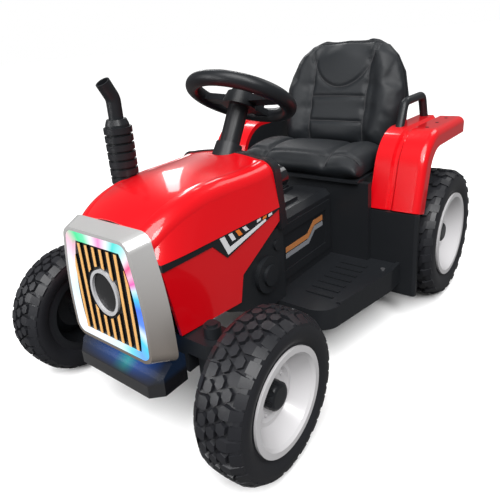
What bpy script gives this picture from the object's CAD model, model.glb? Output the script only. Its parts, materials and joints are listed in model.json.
"""Looks of a ride-on toy tractor, dressed over its CAD frame, in metres."""
import json
import logging
import math
from dataclasses import dataclass, replace
from enum import Enum
from functools import partial
from typing import Callable, Iterable, Sequence

import bmesh
import bpy
from bpy.types import ID, Material, Mesh, Node, NodeSocket, NodeTree, Object
from mathutils import Matrix, Vector
from mathutils.bvhtree import BVHTree
from mathutils.kdtree import KDTree


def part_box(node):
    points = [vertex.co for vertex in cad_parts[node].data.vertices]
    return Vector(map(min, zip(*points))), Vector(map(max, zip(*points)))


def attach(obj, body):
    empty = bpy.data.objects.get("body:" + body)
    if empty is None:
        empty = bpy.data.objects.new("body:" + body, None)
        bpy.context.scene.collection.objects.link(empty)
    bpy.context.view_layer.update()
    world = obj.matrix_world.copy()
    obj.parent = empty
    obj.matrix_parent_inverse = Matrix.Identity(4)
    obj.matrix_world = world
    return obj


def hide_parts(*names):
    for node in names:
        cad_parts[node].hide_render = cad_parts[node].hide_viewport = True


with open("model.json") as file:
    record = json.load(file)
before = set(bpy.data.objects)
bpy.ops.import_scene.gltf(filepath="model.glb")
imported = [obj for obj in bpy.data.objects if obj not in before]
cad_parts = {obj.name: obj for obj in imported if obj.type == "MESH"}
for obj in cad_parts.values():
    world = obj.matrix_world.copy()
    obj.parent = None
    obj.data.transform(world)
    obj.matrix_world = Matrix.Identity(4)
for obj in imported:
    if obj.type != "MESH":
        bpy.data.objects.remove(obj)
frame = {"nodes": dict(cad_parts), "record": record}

LOG = logging.getLogger("tractor")
Point = tuple[float, float, float]
Colour = tuple[float, float, float]
Hues = tuple[tuple[float, Colour], ...]
Outline = Sequence[tuple[float, float]]
Link = tuple[Node, str | int, Node, str | int]


class Side(Enum):
    """The two sides of the tractor, as the sign of X."""

    LEFT = 1
    RIGHT = -1

    @property
    def word(self) -> str:
        """The side's word in piece and node names."""
        return self.name.lower()


class Grain(Enum):
    """Kinds of fine relief on a surface."""

    NONE = "none"
    MOULDED = "moulded"
    RUBBER = "rubber"
    LEATHER = "leather"
    BRUSHED = "brushed"


@dataclass(frozen=True)
class Texture:
    """How a grain is drawn: how fine, how strong, and its stretch along each axis."""

    scale: float
    strength: float = 0.35
    stretch: Point = (1, 1, 1)


TEXTURES = {
    Grain.MOULDED: Texture(900), Grain.RUBBER: Texture(500), Grain.LEATHER: Texture(420, strength=0.5),
    Grain.BRUSHED: Texture(300, stretch=(1, 1, 12))}
COAT_ROUGHNESS = 0.07
MOTTLE_SCALE = 18
MOTTLE_DETAIL = 4


# Node helpers


def wire(tree: NodeTree, *links: Link) -> None:
    """Joins nodes.

    Args:
        tree: The nodes.
        links: Each a node, its output, the next node and that one's input.
    """
    for start, out, end, into in links:
        tree.links.new(start.outputs[out], end.inputs[into])


def object_axes(tree: NodeTree) -> Node:
    """Adds the place on the object, split into its axes.

    Args:
        tree: The material's nodes.

    Returns:
        The node with the three axes.
    """
    place = tree.nodes.new("ShaderNodeTexCoord")
    split = tree.nodes.new("ShaderNodeSeparateXYZ")
    wire(tree, (place, "Object", split, "Vector"))
    return split


def operate(tree: NodeTree, kind: str, operation: str, second: object = None) -> Node:
    """Adds a node that works on numbers or vectors.

    Args:
        tree: The material's nodes.
        kind: The node's type.
        operation: What it does.
        second: Its second value, if that is fixed.

    Returns:
        The node.
    """
    node = tree.nodes.new(kind)
    node.operation = operation
    if second is not None:
        node.inputs[1].default_value = second
    return node


def value_range(tree: NodeTree, low: float, high: float, start: float = 0.0, end: float = 1.0) -> Node:
    """Adds a node that carries one range of values over to another.

    Args:
        tree: The nodes.
        low: The lowest value given.
        high: The highest value given.
        start: What the lowest becomes.
        end: What the highest becomes.

    Returns:
        The node.
    """
    node = tree.nodes.new("ShaderNodeMapRange")
    for socket, value in (("From Min", low), ("From Max", high), ("To Min", start), ("To Max", end)):
        node.inputs[socket].default_value = value
    return node


def colour_ramp(tree: NodeTree, hues: Hues) -> Node:
    """Adds a ramp through given colours.

    Args:
        tree: The material's nodes.
        hues: Shares of the ramp, from 0 to 1, with their colours.

    Returns:
        The node.
    """
    ramp = tree.nodes.new("ShaderNodeValToRGB")
    stops = ramp.color_ramp.elements
    for where, hue in hues:
        stop = stops[0] if where == 0 else stops[-1] if where == 1 else stops.new(where)
        stop.color = (*hue, 1)
    return ramp


def colour_mix(tree: NodeTree, low: Colour, high: Colour) -> tuple[NodeSocket, NodeSocket]:
    """Adds a mix of two colours.

    Args:
        tree: The material's nodes.
        low: The colour at a factor of 0.
        high: The colour at a factor of 1.

    Returns:
        The sockets of the factor and of the result.
    """
    mix = tree.nodes.new("ShaderNodeMix")
    mix.data_type = "RGBA"
    sockets = [socket for socket in mix.inputs if socket.type == "RGBA"]
    for socket, colour in zip(sockets, (low, high)):
        socket.default_value = (*colour, 1)
    result = [socket for socket in mix.outputs if socket.type == "RGBA"][0]
    return mix.inputs["Factor"], result


# Finishes


@dataclass(frozen=True)
class Finish:
    """A procedural surface.

    Attributes:
        colour: Its linear base colour.
        coat: Weight of a clear coat.
        relief: Depth of its grain in metres.
        mottle: Share by which the colour varies over the surface.
        glow: Emission strength of the base colour.
        shine: The shader's specular level.
    """

    name: str
    colour: Colour
    roughness: float
    metallic: float = 0.0
    coat: float = 0.0
    grain: Grain = Grain.NONE
    relief: float = 0.0
    mottle: float = 0.0
    glow: float = 0.0
    shine: float = 0.5

    def make(self) -> Material:
        """Builds the material, or returns the one that exists.

        Returns:
            The material with this finish's name.
        """
        found = bpy.data.materials.get(self.name)
        if found:
            return found
        material = bpy.data.materials.new(self.name)
        material.use_nodes = True
        tree = material.node_tree
        shader = tree.nodes["Principled BSDF"]
        values = {
            "Base Color": (*self.colour, 1), "Roughness": self.roughness, "Metallic": self.metallic,
            "Coat Weight": self.coat, "Coat Roughness": COAT_ROUGHNESS, "Specular IOR Level": self.shine}
        for socket, value in values.items():
            shader.inputs[socket].default_value = value
        if self.glow:
            shader.inputs["Emission Color"].default_value = (*self.colour, 1)
            shader.inputs["Emission Strength"].default_value = self.glow
        if self.mottle:
            self._add_mottle(tree, shader)
        if self.grain is not Grain.NONE:
            self._add_grain(tree, shader)
        return material

    def _add_mottle(self, tree: NodeTree, shader: Node) -> None:
        """Varies the colour slowly over the surface.

        Args:
            tree: The material's nodes.
            shader: The shader whose colour is varied.
        """
        place = tree.nodes.new("ShaderNodeTexCoord")
        noise = tree.nodes.new("ShaderNodeTexNoise")
        noise.inputs["Scale"].default_value = MOTTLE_SCALE
        noise.inputs["Detail"].default_value = MOTTLE_DETAIL
        ramp = tree.nodes.new("ShaderNodeValToRGB")
        low, high = 1 - self.mottle, 1 + self.mottle
        ramp.color_ramp.elements[0].color = (*(c * low for c in self.colour), 1)
        ramp.color_ramp.elements[1].color = (*(min(1, c * high) for c in self.colour), 1)
        wire(tree, (place, "Object", noise, "Vector"), (noise, "Fac", ramp, "Fac"),
             (ramp, "Color", shader, "Base Color"))

    def _add_grain(self, tree: NodeTree, shader: Node) -> None:
        """Adds the fine relief.

        Args:
            tree: The material's nodes.
            shader: The shader that takes the relief.
        """
        texture = TEXTURES[self.grain]
        place = tree.nodes.new("ShaderNodeTexCoord")
        stretch = tree.nodes.new("ShaderNodeMapping")
        stretch.inputs["Scale"].default_value = texture.stretch
        if self.grain is Grain.LEATHER:
            cells = tree.nodes.new("ShaderNodeTexVoronoi")
            cells.feature = "DISTANCE_TO_EDGE"
            height = "Distance"
        else:
            cells = tree.nodes.new("ShaderNodeTexNoise")
            height = "Fac"
        cells.inputs["Scale"].default_value = texture.scale
        bump = tree.nodes.new("ShaderNodeBump")
        bump.inputs["Distance"].default_value = self.relief
        bump.inputs["Strength"].default_value = texture.strength
        wire(tree, (place, "Object", stretch, "Vector"), (stretch, "Vector", cells, "Vector"),
             (cells, height, bump, "Height"), (bump, "Normal", shader, "Normal"))


RED = Finish("paint_red", (0.64, 0.0015, 0.006), 0.34, coat=0.8, mottle=0.02, shine=0.2)
CHARCOAL = Finish("moulding_charcoal", (0.0125, 0.0138, 0.0160), 0.36, grain=Grain.MOULDED, relief=0.00012,
                  mottle=0.10, shine=0.30)
MATT_BLACK = Finish("matt_black", (0.004, 0.004, 0.005), 0.6)
GLOSS_BLACK = Finish("gloss_black", (0.008, 0.008, 0.010), 0.18, coat=0.4)
BUMPER = Finish("bumper_gloss", (0.009, 0.009, 0.011), 0.16, coat=1.0, shine=0.9)
TYRE = Finish("rubber_black", (0.0125, 0.0130, 0.0158), 0.42, grain=Grain.RUBBER, relief=0.0003, mottle=0.18,
              shine=0.40)
WHITE = Finish("moulding_white", (0.56, 0.55, 0.56), 0.30, coat=0.3, mottle=0.02)
SILVER_FOOT = Finish("plating_foot", (0.28, 0.235, 0.20), 0.26, metallic=0.60, coat=0.5)
SILVER_TOP = Finish("plating_top", (0.78, 0.775, 0.77), 0.26)
GOLD = Finish("paint_gold", (0.80, 0.44, 0.15), 0.30)
CHROME = Finish("plating_bright", (0.80, 0.80, 0.82), 0.12, metallic=0.5, coat=0.4)
STEEL = Finish("steel_bare", (0.42, 0.42, 0.44), 0.34, metallic=0.9, grain=Grain.BRUSHED, relief=0.0001)
LEATHER = Finish("leather_black", (0.0095, 0.0115, 0.0140), 0.54, grain=Grain.LEATHER, relief=0.0003,
                 mottle=0.12, shine=0.35)
THREAD = Finish("seam_thread", (0.030, 0.030, 0.033), 0.75)
CASE = Finish("moulding_grey", (0.075, 0.077, 0.082), 0.6, grain=Grain.MOULDED, relief=0.0001, mottle=0.08)
DECAL_WHITE = Finish("decal_white", (0.72, 0.72, 0.74), 0.35)
DECAL_ORANGE = Finish("decal_orange", (0.80, 0.20, 0.02), 0.35)
DECAL_GREY = Finish("decal_grey", (0.22, 0.23, 0.25), 0.35)
DECAL_TAN = Finish("decal_tan", (0.46, 0.18, 0.06), 0.35)
SCREEN_BLUE = Finish("screen_blue", (0.02, 0.10, 0.45), 0.15, glow=0.6)


@dataclass(frozen=True)
class LightStrip:
    """The light strip's lens: white, with soft patches of colour round the grille.

    Attributes:
        centre: Height about which the colours go round.
        strength: How brightly it glows.
        unlit: The lens's own colour.
        hues: Shares of a turn, from the grille's foot, with their colours.
    """

    name: str = "lens_glow"
    centre: float = 0.226
    strength: float = 1.15
    unlit: Colour = (0.08, 0.08, 0.09)
    roughness: float = 0.25
    hues: Hues = (
        (0.0, (0.70, 0.84, 0.96)), (0.07, (0.82, 0.90, 0.98)), (0.14, (0.86, 0.92, 0.98)),
        (0.22, (0.72, 0.88, 0.98)), (0.32, (0.84, 0.88, 0.93)), (0.385, (0.90, 0.50, 0.64)),
        (0.425, (0.0, 0.72, 0.25)), (0.455, (0.10, 0.75, 0.40)), (0.485, (0.85, 0.87, 0.90)),
        (0.52, (0.90, 0.22, 0.55)), (0.55, (0.85, 0.85, 0.92)), (0.575, (0.0, 0.68, 0.62)),
        (0.60, (0.30, 0.80, 0.80)), (0.622, (0.85, 0.80, 0.88)), (0.640, (0.85, 0.02, 0.20)),
        (0.660, (0.92, 0.45, 0.62)), (0.680, (0.85, 0.05, 0.42)), (0.700, (0.55, 0.80, 0.97)),
        (0.725, (0.0, 0.52, 0.82)), (0.76, (0.0, 0.12, 0.88)), (0.806, (0.05, 0.22, 0.95)),
        (0.830, (0.70, 0.85, 1.0)), (0.855, (0.0, 0.58, 0.80)), (0.89, (0.10, 0.35, 1.0)),
        (0.92, (0.10, 0.65, 0.88)), (0.955, (0.62, 0.85, 0.97)), (1.0, (0.70, 0.84, 0.96)))

    def make(self) -> Material:
        """Builds the lens material.

        Returns:
            The material, coloured by the angle round the grille's centre.
        """
        material = Finish(self.name, self.unlit, self.roughness).make()
        tree = material.node_tree
        shader = tree.nodes["Principled BSDF"]
        shader.inputs["Emission Strength"].default_value = self.strength
        axes = object_axes(tree)
        lift = operate(tree, "ShaderNodeMath", "SUBTRACT", self.centre)
        angle = operate(tree, "ShaderNodeMath", "ARCTAN2")
        share = value_range(tree, -math.pi, math.pi)
        ramp = colour_ramp(tree, self.hues)
        wire(tree, (axes, "Z", lift, 0), (axes, "X", angle, 0), (lift, "Value", angle, 1),
             (angle, "Value", share, "Value"), (share, "Result", ramp, "Fac"),
             (ramp, "Color", shader, "Emission Color"))
        return material


@dataclass(frozen=True)
class TwoTone:
    """A finish that passes from one colour to another along an axis.

    Attributes:
        axis: The axis's letter.
        near: The finish at the lower end, which also gives the gloss.
        far: The finish at the upper end.
    """

    axis: str
    near: Finish
    far: Finish

    def make(self, name: str, start: float, end: float) -> Material:
        """Builds the material.

        Args:
            name: The material's name.
            start: Where along the axis the colour starts to change.
            end: Where the change is complete.

        Returns:
            The material.
        """
        material = replace(self.near, name=name).make()
        tree = material.node_tree
        axes = object_axes(tree)
        share = value_range(tree, start, end)
        factor, result = colour_mix(tree, self.near.colour, self.far.colour)
        tree.links.new(axes.outputs[self.axis], share.inputs["Value"])
        tree.links.new(share.outputs["Result"], factor)
        tree.links.new(result, tree.nodes["Principled BSDF"].inputs["Base Color"])
        return material


@dataclass(frozen=True)
class LitBumper:
    """The bumper's finish: gloss black, with the light strip's colours mirrored softly on its top.

    Attributes:
        body: The finish under the mirrored light.
        reach: How far below the top the light ends.
        full: Share of that reach above which it is full.
        half: Half-width of the lit part.
        hues: Shares across the lit part with their colours.
    """

    body: Finish = BUMPER
    reach: float = 0.022
    full: float = 0.65
    half: float = 0.080
    hues: Hues = (
        (0.0, (0.0, 0.008, 0.030)), (0.2, (0.001, 0.030, 0.130)), (0.45, (0.002, 0.060, 0.260)),
        (0.6, (0.003, 0.300, 0.340)), (0.72, (0.002, 0.060, 0.300)), (1.0, (0.0, 0.006, 0.020)))

    def make(self, top: float) -> Material:
        """Builds the material.

        Args:
            top: The bumper's top.

        Returns:
            The material, which glows faintly on the top.
        """
        material = self.body.make()
        tree = material.node_tree
        shader = tree.nodes["Principled BSDF"]
        axes = object_axes(tree)
        across = value_range(tree, -self.half, self.half)
        ramp = colour_ramp(tree, self.hues)
        fade = value_range(tree, top - self.reach, top - self.full * self.reach)
        wire(tree, (axes, "X", across, "Value"), (across, "Result", ramp, "Fac"),
             (ramp, "Color", shader, "Emission Color"), (axes, "Z", fade, "Value"),
             (fade, "Result", shader, "Emission Strength"))
        return material


@dataclass(frozen=True)
class RimFinish:
    """A rim's finish: white on the side that shows, dark behind its dish.

    Attributes:
        dish: Radius at which the dish starts.
        bead: Radius at which it ends.
        web: Half-thickness of the web in the middle plane.
        reach: How far out of the middle plane the dish ends.
    """

    dish: float
    bead: float
    web: float = 0.0018
    reach: float = 0.0278

    def make(self, name: str, side: Side, centre: Vector) -> Material:
        """Builds the material of one rim.

        Args:
            name: The material's name.
            side: The rim's side.
            centre: The wheel's middle.

        Returns:
            The material, which changes colour at the middle of the dish's wall.
        """
        material = bpy.data.materials.new(name)
        material.use_nodes = True
        tree = material.node_tree
        shader = tree.nodes["Principled BSDF"]
        shader.inputs["Roughness"].default_value = WHITE.roughness
        shader.inputs["Coat Weight"].default_value = WHITE.coat
        place = tree.nodes.new("ShaderNodeTexCoord")
        local = operate(tree, "ShaderNodeVectorMath", "SUBTRACT", centre)
        flat = operate(tree, "ShaderNodeVectorMath", "MULTIPLY", (0, 1, 1))
        radius = operate(tree, "ShaderNodeVectorMath", "LENGTH")
        wall = value_range(tree, self.dish, self.bead, self.web, self.reach)
        split = tree.nodes.new("ShaderNodeSeparateXYZ")
        out = operate(tree, "ShaderNodeMath", "MULTIPLY", side.value)
        shown = operate(tree, "ShaderNodeMath", "GREATER_THAN")
        factor, result = colour_mix(tree, CHARCOAL.colour, WHITE.colour)
        wire(tree, (place, "Object", local, 0), (local, "Vector", flat, 0), (flat, "Vector", radius, 0),
             (radius, "Value", wall, "Value"), (local, "Vector", split, "Vector"), (split, "X", out, 0),
             (out, "Value", shown, 0), (wall, "Result", shown, 1))
        tree.links.new(shown.outputs["Value"], factor)
        tree.links.new(result, shader.inputs["Base Color"])
        return material


FRONT_RIM = RimFinish(dish=0.037, bead=0.0585)
REAR_RIM = RimFinish(dish=0.044, bead=0.0705)


# Mesh helpers

BEAD_ROUNDNESS = 2


def even(low: float, high: float, steps: int) -> list[float]:
    """Evenly spaced numbers from low to high."""
    return [low + (high - low) * i / steps for i in range(steps + 1)]


def put(name: str, data: ID) -> Object:
    """Puts data in the scene as an object."""
    thing = bpy.data.objects.new(name, data)
    bpy.context.collection.objects.link(thing)
    return thing


def add_object(name: str, mesh: Mesh, finish: Finish, body: str) -> Object:
    """Puts a mesh in the scene as a piece of the tractor.

    Args:
        name: The piece's name.
        mesh: Its mesh, in the row frame.
        finish: What it is made of.
        body: The body that it rides on.

    Returns:
        The new object.
    """
    piece = put(name, mesh)
    if not mesh.materials:
        mesh.materials.append(finish.make())
    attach(piece, body)
    LOG.info("%s: %d faces on %s", name, len(mesh.polygons), body)
    return piece


def solid_from_rings(name: str, rings: Sequence[Sequence[Point]]) -> Mesh:
    """A closed mesh through rings of equal length, capped at both ends.

    Args:
        name: The mesh's name.
        rings: Rings of points, in order.

    Returns:
        The mesh.
    """
    size = len(rings[0])
    points = [point for ring in rings for point in ring]
    faces = [tuple(range(size))[::-1], tuple(range(len(points) - size, len(points)))]
    for step in range(len(rings) - 1):
        low = step * size
        for i in range(size):
            j = (i + 1) % size
            faces.append((low + i, low + j, low + size + j, low + size + i))
    mesh = bpy.data.meshes.new(name)
    mesh.from_pydata(points, [], faces)
    tidy = bmesh.new()
    tidy.from_mesh(mesh)
    bmesh.ops.recalc_face_normals(tidy, faces=tidy.faces)
    tidy.to_mesh(mesh)
    tidy.free()
    return mesh


def baked(holder: Object) -> Mesh:
    """The mesh of an object with its modifiers in it."""
    graph = bpy.context.evaluated_depsgraph_get()
    return bpy.data.meshes.new_from_object(holder.evaluated_get(graph))


def join_meshes(name: str, meshes: Iterable[Mesh]) -> Mesh:
    """One mesh of several.

    Args:
        name: The new mesh's name.
        meshes: The meshes, which are removed.

    Returns:
        The joined mesh.
    """
    whole = bmesh.new()
    for mesh in meshes:
        whole.from_mesh(mesh)
        bpy.data.meshes.remove(mesh)
    joined = bpy.data.meshes.new(name)
    whole.to_mesh(joined)
    whole.free()
    return joined


def tube_mesh(name: str, line: Sequence[Vector], radius: float) -> Mesh:
    """A thin round bead along a line.

    Args:
        name: The mesh's name.
        line: The points that it follows.
        radius: The bead's radius.

    Returns:
        The bead's mesh.
    """
    curve = bpy.data.curves.new(name, "CURVE")
    curve.dimensions = "3D"
    curve.bevel_depth = radius
    curve.bevel_resolution = BEAD_ROUNDNESS
    curve.use_fill_caps = True
    spline = curve.splines.new("POLY")
    spline.points.add(len(line) - 1)
    for target, point in zip(spline.points, line):
        target.co = (*point, 1)
    holder = bpy.data.objects.new(name, curve)
    mesh = bpy.data.meshes.new_from_object(holder)
    bpy.data.objects.remove(holder)
    bpy.data.curves.remove(curve)
    return mesh


# Repeated pieces


@dataclass(frozen=True)
class Head:
    """A small turned head, of which sets are made, with the record's material slot."""

    radius: float
    depth: float
    finish: Finish
    slot: str
    sides: int


BOSS = Head(0.0026, 0.005, WHITE, "white_rim", 16)
FENDER_SCREW = Head(0.0032, 0.003, CHARCOAL, "charcoal_plastic", 16)
FLOOR_SCREW = Head(0.0042, 0.003, STEEL, "bare_steel", 18)
KEY = Head(0.0045, 0.003, GLOSS_BLACK, "black_button", 24)
SPIN_SEED = 7


class Repeater:
    """Puts a small turned head on each of a set of points, with Geometry Nodes."""

    def __init__(self) -> None:
        """Builds the node group once."""
        self.group = bpy.data.node_groups.new("heads_on_points", "GeometryNodeTree")
        face = self.group.interface
        kinds = {"Geometry": "Geometry", "Radius": "Float", "Depth": "Float", "Sides": "Int", "Seed": "Int",
                 "Finish": "Material"}
        for name, kind in kinds.items():
            face.new_socket(name, in_out="INPUT", socket_type="NodeSocket" + kind)
        face.new_socket("Geometry", in_out="OUTPUT", socket_type="NodeSocketGeometry")
        self._wire()

    def _wire(self) -> None:
        """Joins the nodes: a cylinder on each point, turned to its normal, realised and given its finish."""
        nodes = self.group.nodes
        given = nodes.new("NodeGroupInput")
        result = nodes.new("NodeGroupOutput")
        head = nodes.new("GeometryNodeMeshCylinder")
        facing = nodes.new("GeometryNodeInputNamedAttribute")
        facing.data_type = "FLOAT_VECTOR"
        facing.inputs["Name"].default_value = "facing"
        align = nodes.new("FunctionNodeAlignRotationToVector")
        align.axis = "Z"
        chance = nodes.new("FunctionNodeRandomValue")
        chance.data_type = "FLOAT"
        spin = nodes.new("FunctionNodeRotateRotation")
        spin.rotation_space = "LOCAL"
        about = nodes.new("FunctionNodeAxisAngleToRotation")
        about.inputs["Axis"].default_value = (0, 0, 1)
        points = nodes.new("GeometryNodeInstanceOnPoints")
        real = nodes.new("GeometryNodeRealizeInstances")
        finish = nodes.new("GeometryNodeSetMaterial")
        maximum = [socket for socket in chance.inputs if socket.name == "Max" and socket.type == "VALUE"][0]
        maximum.default_value = math.tau
        turn = [socket for socket in chance.outputs if socket.type == "VALUE"][0]
        way = [socket for socket in facing.outputs if socket.enabled][0]
        self.group.links.new(way, align.inputs["Vector"])
        self.group.links.new(turn, about.inputs["Angle"])
        wire(self.group, (given, "Radius", head, "Radius"), (given, "Depth", head, "Depth"),
             (given, "Sides", head, "Vertices"), (given, "Seed", chance, "Seed"),
             (align, "Rotation", spin, "Rotation"), (about, "Rotation", spin, "Rotate By"),
             (given, "Geometry", points, "Points"), (head, "Mesh", points, "Instance"),
             (spin, "Rotation", points, "Rotation"), (points, "Instances", real, "Geometry"),
             (real, "Geometry", finish, "Geometry"), (given, "Finish", finish, "Material"),
             (finish, "Geometry", result, "Geometry"))

    def heads(self, name: str, spots: Sequence[tuple[Point, Point]], head: Head) -> Mesh:
        """Makes one mesh of heads.

        Args:
            name: The mesh's name.
            spots: Pairs of a head's middle and the way it faces.
            head: What stands on each spot.

        Returns:
            The realised mesh.
        """
        cloud = bpy.data.meshes.new(name + "_points")
        cloud.from_pydata([spot for spot, _ in spots], [], [])
        facing = cloud.attributes.new("facing", "FLOAT_VECTOR", "POINT")
        for item, (_, way) in zip(facing.data, spots):
            item.vector = way
        holder = put(name + "_points", cloud)
        modifier = holder.modifiers.new("heads", "NODES")
        modifier.node_group = self.group
        values = {"Radius": head.radius, "Depth": head.depth, "Sides": head.sides, "Seed": SPIN_SEED,
                  "Finish": head.finish.make()}
        for item in self.group.interface.items_tree:
            if item.in_out == "INPUT" and item.name in values:
                modifier[item.identifier] = values[item.name]
        holder.update_tag()
        bpy.context.view_layer.update()
        mesh = baked(holder)
        mesh.name = name
        bpy.data.objects.remove(holder)
        bpy.data.meshes.remove(cloud)
        return mesh


# Sub-assemblies


@dataclass
class CadFinishes:
    """Finishes for the CAD nodes that are shown as they are.

    Attributes:
        lens: The light strip.
        bars: The grille bars, gold on their faces and black on their flanks.
        surround: The grille surround, darker at its foot.
        bumper: The bumper.
        gilt: How far back from the bars' faces the gold goes.
    """

    lens: LightStrip = LightStrip()
    bars: TwoTone = TwoTone("Y", GOLD, MATT_BLACK)
    surround: TwoTone = TwoTone("Z", SILVER_FOOT, SILVER_TOP)
    bumper: LitBumper = LitBumper()
    gilt: float = 0.0007

    def dress(self) -> None:
        """Gives each CAD node its finish."""
        by_slot = {
            "red_gloss": RED, "charcoal_plastic": CHARCOAL, "tyre_rubber": TYRE, "white_rim": WHITE,
            "silver_trim": SILVER_FOOT, "gold_trim": GOLD, "bright_ring": CHROME, "black_button": GLOSS_BLACK,
            "bare_steel": STEEL, "seat_leather": LEATHER, "drive_case": CASE}
        lens = self.lens.make()
        for entry in frame["record"]["subparts"]:
            node = frame["nodes"][entry["node"]]
            slot = entry["material_slot"]
            material = lens if slot == "light_lens" else by_slot[slot].make()
            node.data.materials.clear()
            node.data.materials.append(material)
        painted = {"grille_insert": MATT_BLACK, "knuckle_left": CHARCOAL, "knuckle_right": CHARCOAL,
                   "start_button_housing": GLOSS_BLACK}
        for node, finish in painted.items():
            frame["nodes"][node].data.materials[0] = finish.make()
        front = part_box("grille_bars")[0].y + self.gilt
        low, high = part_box("grille_surround")
        made = {"grille_bars": self.bars.make("bars_edged", front, front + self.gilt / 5),
                "grille_surround": self.surround.make("surround_shaded", low.z, high.z),
                "front_bumper": self.bumper.make(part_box("front_bumper")[1].z)}
        for node, material in made.items():
            frame["nodes"][node].data.materials[0] = material
        for end, finish in (("front", FRONT_RIM), ("rear", REAR_RIM)):
            for side in Side:
                low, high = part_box("%s_tyre_%s" % (end, side.word))
                rim = "%s_rim_%s" % (end, side.word)
                frame["nodes"][rim].data.materials[0] = finish.make(rim + "_tones", side, (low + high) / 2)


@dataclass
class Padding:
    """A padded piece: the CAD form, swollen as cloth over foam, then sewn.

    Attributes:
        node: The CAD node that it stands for.
        shrink: Share by which it starts smaller.
        voxel: Size of the remesh.
        reach: The most that a point may move.
        fill: How full it is, from 0 to 1.
        pressure: How strongly the cloth swells.
        frames: How long it swells.
    """

    node: str
    shrink: float = 0.992
    voxel: float = 0.006
    reach: float = 0.007
    fill: float = 0.75
    pressure: float = 4
    frames: int = 20

    def swell(self) -> Mesh:
        """Runs the cloth and returns the swollen form.

        Returns:
            The new mesh, in the row frame.
        """
        source = frame["nodes"][self.node]
        mesh = source.data.copy()
        middle = sum((v.co for v in mesh.vertices), Vector()) / len(mesh.vertices)
        for vertex in mesh.vertices:
            vertex.co = middle + (vertex.co - middle) * self.shrink
        piece = put(self.node + "_soft", mesh)
        remesh = piece.modifiers.new("remesh", "REMESH")
        remesh.mode = "VOXEL"
        remesh.voxel_size = self.voxel
        self._apply(piece)
        self._cloth(piece)
        result = piece.data
        bpy.data.objects.remove(piece)
        return result

    def _apply(self, piece: Object) -> None:
        """Puts a piece's modifiers into its mesh."""
        mesh = baked(piece)
        piece.modifiers.clear()
        piece.data = mesh

    def _cloth(self, piece: Object) -> None:
        """Swells a piece by pressure, and caps how far its points move.

        Args:
            piece: The piece.
        """
        rest = [vertex.co.copy() for vertex in piece.data.vertices]
        cloth = piece.modifiers.new("cloth", "CLOTH")
        cloth.settings.use_pressure = True
        cloth.settings.uniform_pressure_force = self.pressure
        cloth.settings.effector_weights.gravity = 0
        scene = bpy.context.scene
        for number in range(1, self.frames + 1):
            scene.frame_set(number)
        self._apply(piece)
        scene.frame_set(1)
        for vertex, start in zip(piece.data.vertices, rest):
            move = vertex.co - start
            if move.length > self.reach:
                vertex.co = start + move.normalized() * self.reach


def soften(mesh: Mesh, passes: int = 4, factor: float = 0.5) -> Mesh:
    """A smoothed and once divided copy of a mesh.

    Args:
        mesh: The mesh, which is removed.
        passes: How often it is smoothed.
        factor: How strongly each pass smooths it.

    Returns:
        The new mesh.
    """
    holder = put("soften", mesh)
    smooth = holder.modifiers.new("smooth", "SMOOTH")
    smooth.factor = factor
    smooth.iterations = passes
    divide = holder.modifiers.new("divide", "SUBSURF")
    divide.levels = 1
    result = baked(holder)
    bpy.data.objects.remove(holder)
    bpy.data.meshes.remove(mesh)
    result.shade_smooth()
    return result


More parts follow.
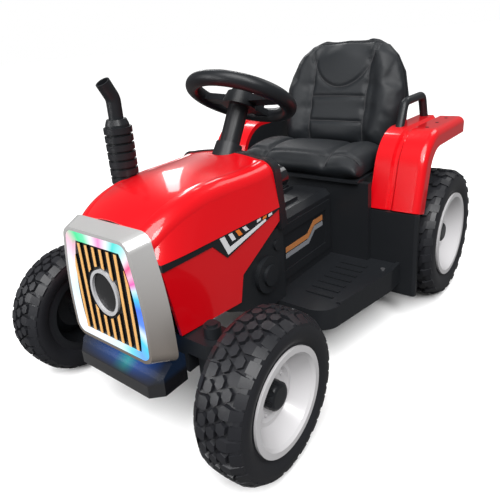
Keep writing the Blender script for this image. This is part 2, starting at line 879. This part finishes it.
@dataclass
class Seat:
    """The seat's padded cushion and backrest with their sewn channels.

    Attributes:
        foot: Where the backrest's leaning plane starts.
        lean: The backrest's lean in degrees, with its height along that lean.
        bolster: Half-width of its middle panel, with the ends of the panel's seams as shares of the height.
        channels: Shares of the height at which channels cross the panel.
        head_rise: Share of the height at which the head's seams start, with how far each bows.
        level_margin: How far inside its seams the panel is levelled.
        seam_stops: How far the cushion's long seams stop from its front and back.
        roll: How far from the front the cushion's cross seam is.
        skirt: Height of the cushion's side that takes no channel.
        depth: Depth of a sewn channel, with its half-width and its thread's radius.
        start: How far out the lines start before they drop on a cushion.
    """

    foot: Point = (0, 0.3092, 0.267)
    lean: float = 17.0
    height: float = 0.249
    bolster: float = 0.064
    bolster_seam: tuple[float, float] = (0.10, 0.775)
    channels: tuple[float, ...] = (0.25, 0.465)
    head_half: float = 0.074
    head_rise: float = 0.93
    head_bows: tuple[float, ...] = (-0.385, 0.025)
    level_margin: float = 0.006
    level_passes: int = 60
    seam_half: float = 0.070
    seam_stops: tuple[float, float] = (0.012, 0.008)
    roll: float = 0.034
    roll_half: float = 0.132
    skirt: float = 0.008
    depth: float = 0.0038
    spread: float = 0.0048
    bead: float = 0.0009
    start: float = 0.3

    def build(self) -> None:
        """Makes both cushions."""
        self._cushion()
        self._backrest()

    def _sew(self, mesh: Mesh, lines: Sequence[Sequence[Vector]], floor: float) -> None:
        """Presses channels into a mesh along lines.

        Args:
            mesh: The padded mesh.
            lines: The channels' lines, near the surface.
            floor: Height below which the mesh takes no channel.
        """
        normals = [vertex.normal.copy() for vertex in mesh.vertices]
        spots = [point for line in lines for point in line]
        tree = KDTree(len(spots))
        for index, spot in enumerate(spots):
            tree.insert(spot, index)
        tree.balance()
        for vertex, normal in zip(mesh.vertices, normals):
            if vertex.co.z < floor:
                continue
            _, _, distance = tree.find(vertex.co)
            if distance < 3 * self.spread:
                vertex.co -= normal * self.depth * math.exp(-((distance / self.spread) ** 2))

    def _on_surface(self, mesh: Mesh, starts: Sequence[Vector], way: Vector) -> list[Vector]:
        """Drops points onto a mesh.

        Args:
            mesh: The mesh.
            starts: Points outside it.
            way: The direction in which they drop.

        Returns:
            The points where they land.
        """
        tree = BVHTree.FromPolygons([v.co for v in mesh.vertices], [tuple(p.vertices) for p in mesh.polygons])
        found = [tree.ray_cast(start, way)[0] for start in starts]
        return [point for point in found if point is not None]

    def _finish(self, node: str, mesh: Mesh, runs: Sequence[Sequence[Vector]], way: Vector,
                floor: float = 0.0) -> None:
        """Sews a padded mesh and puts it in the scene with its threads.

        Args:
            node: The CAD node that it stands for.
            mesh: The padded mesh.
            runs: The seams' lines, outside the mesh.
            way: The direction in which they drop on it.
            floor: Height below which it takes no channel.
        """
        self._sew(mesh, [self._on_surface(mesh, run, way) for run in runs], floor)
        lines = [self._on_surface(mesh, run, way) for run in runs]
        mesh.materials.clear()
        piece = add_object(node + "_pad", mesh, LEATHER, "chassis")
        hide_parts(node)
        beads = join_meshes(node + "_thread", [tube_mesh("bead", line, self.bead) for line in lines])
        add_object(node + "_thread", beads, THREAD, "chassis")

    def _cushion(self) -> None:
        """The seat cushion: two seams from back to front and one along the front roll."""
        pad = Padding("seat_cushion")
        mesh = soften(pad.swell())
        low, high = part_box("seat_cushion")
        down = Vector((0, 0, -1))
        above = high.z + self.start
        ys = even(low.y + self.seam_stops[0], high.y - self.seam_stops[1], 60)
        runs = [[Vector((side.value * self.seam_half, y, above)) for y in ys] for side in Side]
        xs = even(-self.roll_half, self.roll_half, 70)
        runs.append([Vector((x, low.y + self.roll, above)) for x in xs])
        self._finish("seat_cushion", mesh, runs, down, low.z + self.skirt)

    def _leaning(self, x: float, rise: float, out: float) -> Vector:
        """A point across, up along and forward of the backrest's leaning plane, in the row frame."""
        turn = Matrix.Rotation(math.radians(-self.lean), 3, "X")
        return Vector(self.foot) + turn @ Vector((x, -out, rise))

    def _level(self, mesh: Mesh) -> None:
        """Levels the backrest's middle panel before it is sewn.

        Args:
            mesh: The padded mesh.
        """
        whole = bmesh.new()
        whole.from_mesh(mesh)
        edge = self.bolster - self.level_margin
        panel = [v for v in whole.verts if abs(v.co.x) < edge and v.normal.y < -0.5]
        for _ in range(self.level_passes):
            bmesh.ops.smooth_vert(whole, verts=panel, factor=0.5, use_axis_x=True, use_axis_y=True,
                                  use_axis_z=True)
        whole.to_mesh(mesh)
        whole.free()

    def _backrest(self) -> None:
        """The backrest: bolster seams, two channels across and a curved one under the head."""
        pad = Padding("seat_backrest")
        mesh = soften(pad.swell())
        self._level(mesh)
        back = self._leaning(0, 0, -1) - self._leaning(0, 0, 0)
        height, edge = self.height, self.bolster
        rises = even(*(height * share for share in self.bolster_seam), 50)
        plans = [[(side.value * edge, rise) for rise in rises] for side in Side]
        plans += [[(x, height * share) for x in even(-edge, edge, 40)] for share in self.channels]
        for bow in self.head_bows:
            plans.append([(self.head_half * math.cos(turn), height * (self.head_rise + bow * math.sin(turn)))
                          for turn in even(0, math.pi, 50)])
        runs = [[self._leaning(x, rise, self.start) for x, rise in plan] for plan in plans]
        self._finish("seat_backrest", mesh, runs, back)


@dataclass
class Decals:
    """Plain printed shapes on the trim bands and the console, of the photograph's colours.

    Attributes:
        toe: The side panels' turn in degrees.
        pivot: Where the panels' back edge is, as (x, y).
        face: How far out a band's face is from the middle.
        film: Thickness of the printed film.
        corner: Outline of the bent mark's front, as (along, up).
        square: Outline of a small square, from its own start.
        bars: Where the row of bars starts, and its pitch.
        bar_foot: Height of the row's foot, and how much higher each next bar's is.
        console: How far out the console's side is.
        bands: The console's stripes, with their finishes and their lower and upper edges.
        bends: Where the lower edge and then the upper edge bends, twice each.
        rise: How far the stripes rise between the bends.
    """

    toe: float = 2.6
    pivot: tuple[float, float] = (0.098, 0.0985)
    face: float = 0.1045
    film: float = 0.0003
    corner: Outline = ((-0.2215, 0.2535), (-0.2125, 0.2551), (-0.2220, 0.2745), (-0.2320, 0.2745))
    stripe: Outline = ((-0.2175, 0.2450), (-0.128, 0.2665), (-0.130, 0.2700), (-0.2215, 0.2535))
    square: Outline = ((0, 0.2705), (0.009, 0.2718), (0.009, 0.2755), (0, 0.2745))
    squares: tuple[float, ...] = (-0.150, -0.136, -0.122)
    bars: tuple[float, float] = (-0.222, 0.015)
    bar_foot: tuple[float, float] = (0.2600, 0.0022)
    bar_top: float = 0.2745
    bar_width: float = 0.008
    bar_lean: float = -0.007
    console: float = 0.080
    bands: tuple[tuple[str, Finish, float, float], ...] = (
        ("grey", DECAL_GREY, 0.163, 0.172), ("tan", DECAL_TAN, 0.174, 0.184))
    ends: tuple[float, float] = (-0.046, 0.081)
    bends: tuple[float, ...] = (0.030, 0.052, 0.026, 0.048)
    rise: float = 0.018

    def build(self) -> None:
        """Makes the shapes on both sides."""
        for side in Side:
            self._band(side)
            self._stripe(side)

    def _on_band(self, side: Side, y: float, z: float, proud: float) -> Point:
        """A point on a band's face.

        Args:
            side: Which band.
            y: Along the band before its turn.
            z: Height.
            proud: How far it stands off the face.

        Returns:
            The point in the row frame.
        """
        turn = math.radians(self.toe)
        x = self.face + proud
        across = x * math.cos(turn) + y * math.sin(turn) + self.pivot[1] * math.sin(turn)
        along = -x * math.sin(turn) + y * math.cos(turn) + self.pivot[0] * math.sin(turn)
        return (side.value * across, along, z)

    def _on_console(self, side: Side, y: float, z: float, proud: float) -> Point:
        """A point on the console's side, which stands off it by proud."""
        return (side.value * (self.console + proud), y, z)

    def _film(self, name: str, place: Callable[..., Point], shape: Outline) -> Mesh:
        """A thin film of a given outline, put in place from (along, up, proud)."""
        rings = [[place(y, z, proud) for y, z in shape] for proud in (0.0, self.film)]
        return solid_from_rings(name, rings)

    def _band(self, side: Side) -> None:
        """A bent mark, slanted bars and squares on a trim band.

        Args:
            side: Which band.
        """
        place = partial(self._on_band, side)
        white = [self._film("corner", place, self.corner)]
        orange = []
        for number, group in enumerate((white, orange, white), start=1):
            start = self.bars[0] + self.bars[1] * number
            foot = self.bar_foot[0] + self.bar_foot[1] * number
            end = start + self.bar_width
            shape = [(start, foot), (end, foot), (end + self.bar_lean, self.bar_top),
                     (start + self.bar_lean, self.bar_top)]
            group.append(self._film("bar", place, shape))
        white.append(self._film("stripe", place, self.stripe))
        for start, group in zip(self.squares, (white, orange, white)):
            group.append(self._film("square", place, [(start + y, z) for y, z in self.square]))
        for name, films, finish in (("white", white, DECAL_WHITE), ("orange", orange, DECAL_ORANGE)):
            piece = "band_%s_%s" % (name, side.word)
            add_object(piece, join_meshes(piece, films), finish, "chassis")

    def _stripe(self, side: Side) -> None:
        """The bent tan and grey stripes on the console's side.

        Args:
            side: Which side of the console.
        """
        place = partial(self._on_console, side)
        front, back = self.ends
        low_first, low_last, high_first, high_last = self.bends
        for name, finish, low, high in self.bands:
            shape = [(front, low), (low_first, low), (low_last, low + self.rise), (back, low + self.rise),
                     (back, high + self.rise), (high_last, high + self.rise), (high_first, high),
                     (front, high)]
            piece = "console_%s_%s" % (name, side.word)
            add_object(piece, self._film(piece, place, shape), finish, "chassis")


@dataclass
class Details:
    """Small repeated pieces: rim bosses, screws and panel keys, and the panel's screen.

    Attributes:
        repeater: The node group that makes the sets.
        rings: The ends' rings of bosses, with their radius and their middle on the left.
        fender_top: Height of the fenders at the part's middle, with their fall per metre to the back.
        floor_spots: Where a footboard's screws are, as (x, y).
        screen: The screen's corners, as (x, y), with its underside and its top.
        key_row: Where the row of keys is, as (y, z).
    """

    repeater: Repeater
    rings: tuple[tuple[str, float, Point], ...] = (
        ("front", 0.0295, (0.2100, -0.2905, 0.109)), ("rear", 0.0345, (0.2285, 0.2725, 0.127)))
    bosses: int = 8
    fender_x: float = 0.216
    fender_ys: tuple[float, ...] = (0.235, 0.290, 0.345)
    fender_top: float = 0.3485
    fender_slope: float = 0.02
    floor_spots: Outline = ((0.196, 0.092), (0.186, -0.05))
    floor_top: float = 0.1112
    screen: Outline = ((-0.0235, -0.0270), (0.0235, -0.0270), (0.0235, -0.0020), (-0.0235, -0.0020))
    screen_levels: tuple[float, float] = (0.2486, 0.2496)
    key_columns: Sequence[int] = range(-2, 3)
    key_pitch: float = 0.0135
    key_row: tuple[float, float] = (0.010, 0.2504)

    def build(self) -> None:
        """Makes each set and puts it on its body."""
        for ring in self.rings:
            for side in Side:
                self._boss_ring(*ring, side)
        for side in Side:
            spots = [((side.value * self.fender_x, y, self.fender_top - self.fender_slope * y), (0, 0, 1))
                     for y in self.fender_ys]
            self._add("fender_screws_" + side.word, spots, FENDER_SCREW, "chassis")
        for side in Side:
            spots = [((side.value * x, y, self.floor_top), (0, 0, 1)) for x, y in self.floor_spots]
            self._add("floor_screws_" + side.word, spots, FLOOR_SCREW, "chassis")
        self._panel()

    def _add(self, name: str, spots: list[tuple[Point, Point]], head: Head, body: str) -> None:
        """Makes one set of heads as a piece that rides on a body."""
        add_object(name, self.repeater.heads(name, spots, head), head.finish, body)

    def _boss_ring(self, end: str, radius: float, centre: Point, side: Side) -> None:
        """Small bosses on the stepped ring of one rim.

        Args:
            end: The wheel's end.
            radius: The ring's radius.
            centre: Its middle on the left wheel.
            side: The wheel's side.
        """
        x, y, z = centre
        spots = []
        for number in range(self.bosses):
            angle = math.tau * (number + 0.5) / self.bosses
            spot = (side.value * x, y + radius * math.cos(angle), z + radius * math.sin(angle))
            spots.append((spot, (side.value, 0, 0)))
        self._add("%s_rim_bosses_%s" % (end, side.word), spots, BOSS, "%s_wheel_%s" % (end, side.word))

    def _panel(self) -> None:
        """The lit screen of the media panel and its keys."""
        rings = [[(x, y, level) for x, y in self.screen] for level in self.screen_levels]
        add_object("media_screen", solid_from_rings("media_screen", rings), SCREEN_BLUE, "chassis")
        keys = [((column * self.key_pitch, *self.key_row), (0, 0, 1)) for column in self.key_columns]
        self._add("media_keys", keys, KEY, "chassis")


@dataclass(frozen=True)
class Lamp:
    """A soft lamp of a given width, height and power in watts that faces the tractor."""

    name: str
    spot: Point
    size: tuple[float, float]
    power: float
    aim: Point = (0, 0, 0.2)

    def hang(self) -> None:
        """Puts the lamp in the scene."""
        data = bpy.data.lights.new(self.name, "AREA")
        data.shape = "RECTANGLE"
        data.size, data.size_y = self.size
        data.energy = self.power
        lamp = put(self.name, data)
        lamp.location = self.spot
        way = Vector(self.aim) - Vector(self.spot)
        lamp.rotation_euler = way.to_track_quat("-Z", "Y").to_euler()


@dataclass
class Studio:
    """Floor, lights and the camera of the photograph.

    Attributes:
        spot: The camera's place.
        azimuth: Its angle round from the front, in degrees, as its elevation and roll are.
        lens: Its focal length in millimetres, with its sensor's width and its shift.
        sky: How brightly the sky lights the scene.
        pale: How pale the floor looks.
        dim: How pale it is for the light that it throws back.
        sun_power: The sun's strength, with its breadth and its tip about X and Y in degrees.
    """

    spot: Point = (0.5222, -0.6956, 0.5351)
    azimuth: float = 41.2
    elevation: float = 19.5
    roll: float = -5.3
    lens: float = 35.63
    sensor: float = 36
    shift: tuple[float, float] = (0.0462, -0.0760)
    sky: float = 0.17
    pale: float = 0.96
    dim: float = 0.11
    floor_half: float = 30.0
    sun_power: float = 3.7
    sun_breadth: float = 50
    sun_turn: tuple[float, float] = (28, 18)
    lamps: tuple[Lamp, ...] = (
        Lamp("key", (1.9, -1.1, 1.9), (0.8, 0.8), 30),
        Lamp("fill", (-1.7, -2.1, 1.3), (1.2, 1.2), 18),
        Lamp("rim", (0.6, 2.3, 2.3), (1.2, 1.2), 12),
        Lamp("strip_back", (-1.45, 1.15, 1.55), (0.22, 1.5), 9),
        Lamp("strip_high", (-0.95, 1.55, 1.75), (0.16, 1.5), 7),
        Lamp("strip_front", (-0.32, -1.8, 0.62), (0.10, 0.8), 4),
        Lamp("strip_side", (-0.85, -1.7, 0.66), (0.14, 0.8), 5))

    def build(self) -> None:
        """Sets up the stage."""
        self._floor()
        self._world()
        self._sun()
        for lamp in self.lamps:
            lamp.hang()
        self._camera()
        bpy.context.scene.view_settings.view_transform = "Standard"

    def _floor(self) -> None:
        """A plain pale floor."""
        mesh = bpy.data.meshes.new("floor")
        size = self.floor_half
        corners = [(-size, -size, 0), (size, -size, 0), (size, size, 0), (-size, size, 0)]
        mesh.from_pydata(corners, [], [(0, 1, 2, 3)])
        mesh.materials.append(self._pale())
        floor = put("floor", mesh)

    def _pale(self) -> Material:
        """The floor's finish, which throws little light back on the tractor.

        Returns:
            The material.
        """
        pale = (self.pale,) * 3
        material = Finish("floor_pale", pale, 0.8, shine=0.0).make()
        tree = material.node_tree
        path = tree.nodes.new("ShaderNodeLightPath")
        factor, result = colour_mix(tree, (self.dim,) * 3, pale)
        tree.links.new(path.outputs["Is Camera Ray"], factor)
        tree.links.new(result, tree.nodes["Principled BSDF"].inputs["Base Color"])
        return material

    def _world(self) -> None:
        """An even pale sky."""
        world = bpy.data.worlds.new("studio")
        world.use_nodes = True
        tree = world.node_tree
        back = tree.nodes["Background"]
        back.inputs["Color"].default_value = (1, 1, 1, 1)
        path = tree.nodes.new("ShaderNodeLightPath")
        level = value_range(tree, 0, 1, self.sky, 1)
        wire(tree, (path, "Is Camera Ray", level, "Value"), (level, "Result", back, "Strength"))
        bpy.context.scene.world = world

    def _sun(self) -> None:
        """A broad soft light from high on the left, which keeps the floor even."""
        data = bpy.data.lights.new("sun", "SUN")
        data.energy = self.sun_power
        data.angle = math.radians(self.sun_breadth)
        sun = put("sun", data)
        sun.rotation_euler = (*(math.radians(turn) for turn in self.sun_turn), 0)

    def _camera(self) -> None:
        """The photograph's camera."""
        turn = Matrix.Rotation(math.radians(self.azimuth), 4, "Z")
        turn @= Matrix.Rotation(math.radians(90 - self.elevation), 4, "X")
        turn @= Matrix.Rotation(math.radians(self.roll), 4, "Z")
        data = bpy.data.cameras.new("camera")
        data.sensor_width = self.sensor
        data.lens = self.lens
        data.shift_x, data.shift_y = self.shift
        data.clip_start = 0.01
        camera = put("camera", data)
        camera.matrix_world = Matrix.Translation(self.spot) @ turn
        bpy.context.scene.camera = camera


def main() -> None:
    """Builds every sub-assembly in order."""
    logging.basicConfig(level=logging.INFO, format="%(name)s %(message)s")
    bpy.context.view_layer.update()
    CadFinishes().dress()
    Seat().build()
    Decals().build()
    Details(Repeater()).build()
    Studio().build()


if __name__ == "__main__":
    main()
